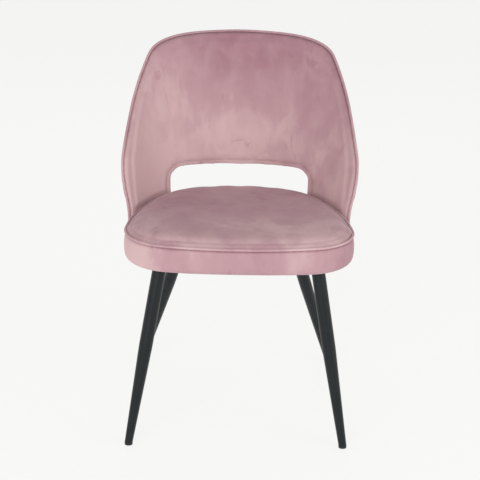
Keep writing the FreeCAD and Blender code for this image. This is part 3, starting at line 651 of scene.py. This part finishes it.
back = makeBack()
print("back filled", len(back.data.polygons))
lowRim = [point for point in rimSeam if point.z < rim["darkBelow"]]
highRim = [point for point in rimSeam if point.z > rim["darkBelow"]]
# Painted shade darkens the colour along the rim's seam, in a broad band beside its upper part, and where the
# cover turns in to the opening
pressSeams(back, [(nearPoints(rimSeam), *rim["valley"]), (nearPoints(lowRim), *rim["lowShade"]),
                  (nearPoints(highRim), *rim["highShade"]), (turnedIn, *gap["valley"])])
makeBackPiping()
print("back piping laid")

# Dust cloth: a thin sheet stapled under the seat

dustCloth = {"inset": 0.0325, "low": 0.4025, "thick": 0.0004, "hem": 0.010, "fold": 0.002,
             "staple": (0.0100, 0.0008, 0.0007), "stapleInset": 0.038, "stapleGap": 0.055,
             "stapleStep": 0.002, "stapleEdge": 0.00018}


def makeDustCloth():
    bm = bmesh.new()
    edges = planRing(bm, dustCloth["inset"], dustCloth["low"])
    bmesh.ops.contextual_create(bm, geom=edges)
    bmesh.ops.inset_region(bm, faces=bm.faces, thickness=dustCloth["hem"], use_even_offset=True)
    middle = max(bm.faces, key=lambda face: face.calc_area())
    bmesh.ops.inset_region(bm, faces=[middle], thickness=dustCloth["fold"], use_even_offset=True)
    area = sum(face.calc_area() for face in bm.faces)
    bmesh.ops.solidify(bm, geom=bm.faces, thickness=dustCloth["thick"])
    bmesh.ops.recalc_face_normals(bm, faces=bm.faces)
    item = makeObject("dustCloth", bm, blackCloth, smooth=False)
    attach(item, "root")
    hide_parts("dust_cloth")


def makeStaples():
    # Staples sit across the cloth's edge, all the way round
    bm = bmesh.new()
    under = dustCloth["low"] - dustCloth["thick"]
    line = ringPoints(dustCloth["stapleInset"], under, dustCloth["stapleStep"])
    shape = Matrix.Diagonal((*dustCloth["staple"], 1))
    gone = dustCloth["stapleGap"]
    for first, second in zip(line, line[1:]):
        gone += (second - first).length
        if gone < dustCloth["stapleGap"]:
            continue
        gone = 0.0
        heading = math.atan2(second.y - first.y, second.x - first.x)
        place = Matrix.Translation(first) @ Matrix.Rotation(heading, 4, "Z") @ shape
        bmesh.ops.create_cube(bm, size=1.0, matrix=place)
    bmesh.ops.bevel(bm, geom=bm.edges, offset=dustCloth["stapleEdge"], segments=2, profile=0.5,
                    affect="EDGES", material=-1)
    item = makeObject("staples", bm, zincSteel)
    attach(item, "root")


makeDustCloth()
makeStaples()
print("dust cloth stapled")

# Hard pieces keep their CAD shapes

coated = ("leg_front", "leg_rear", "leg_plate", "bracket_left", "bracket_right", "bracket_rear")

for name, item in nodes.items():
    if name.startswith(coated):
        finish = blackCoat
    elif name.startswith("glide"):
        finish = blackPlastic
    elif name in ("seat_board", "back_core"):
        finish = birchPly
    else:
        finish = zincSteel
    item.data.materials.clear()
    item.data.materials.append(finish)

# Studio: pale floor and soft light

studio = {"floor": 24.0, "paper": (0.15, 0.15, 0.148, 1), "paperDark": (0.14, 0.14, 0.138, 1), "grain": 40.0,
          "rough": 0.9, "gloss": 0.1, "white": (1.0, 1.0, 0.985, 1), "glow": 0.825,
          "horizon": 0.92, "overhead": 0.38, "fade": (0.05, 0.60), "aim": (0, 0, 0.5)}

# Each light's place, its width and height, and its power in watts
lights = {"softFront": ((-1.1, -3.4, 1.9), (2.4, 1.8), 60),
          "softRight": ((2.6, -1.6, 1.6), (1.6, 1.6), 22),
          "softBack": ((0.0, 2.6, 2.4), (2.0, 1.2), 14)}


def makeFloor():
    bm = bmesh.new()
    bmesh.ops.create_grid(bm, x_segments=1, y_segments=1, size=studio["floor"])
    material, tree, shader = newMaterial("paperFloor")
    place = addNode(tree, "ShaderNodeTexCoord").outputs["Object"]
    fine = addNoise(tree, place, studio["grain"], 3.0)
    tree.links.new(addMix(tree, fine, studio["paper"], studio["paperDark"]), shader.inputs["Base Color"])
    shader.inputs["Roughness"].default_value = studio["rough"]
    shader.inputs["Specular IOR Level"].default_value = studio["gloss"]
    shader.inputs["Emission Color"].default_value = studio["white"]
    shader.inputs["Emission Strength"].default_value = studio["glow"]
    floor = makeObject("floor", bm, material, smooth=False)


def makeLight(name, place, size, power):
    data = bpy.data.lights.new(name, "AREA")
    data.shape = "RECTANGLE"
    data.size, data.size_y = size
    data.energy = power
    item = bpy.data.objects.new(name, data)
    item.location = place
    item.rotation_euler = (Vector(studio["aim"]) - Vector(place)).to_track_quat("-Z", "Y").to_euler()
    scene.collection.objects.link(item)


def makeWorld():
    # Bright at the horizon, dimmer overhead
    world = bpy.data.worlds.new("studio")
    world.use_nodes = True
    tree = world.node_tree
    split = addNode(tree, "ShaderNodeSeparateXYZ")
    tree.links.new(addNode(tree, "ShaderNodeTexCoord").outputs["Generated"], split.inputs["Vector"])
    background = tree.nodes["Background"]
    background.inputs["Color"].default_value = studio["white"]
    strength = addRange(tree, split.outputs["Z"], *studio["fade"], studio["horizon"], studio["overhead"])
    tree.links.new(strength, background.inputs["Strength"])
    scene.world = world


makeFloor()
makeWorld()
for name, light in lights.items():
    makeLight(name, *light)
print("studio lit")
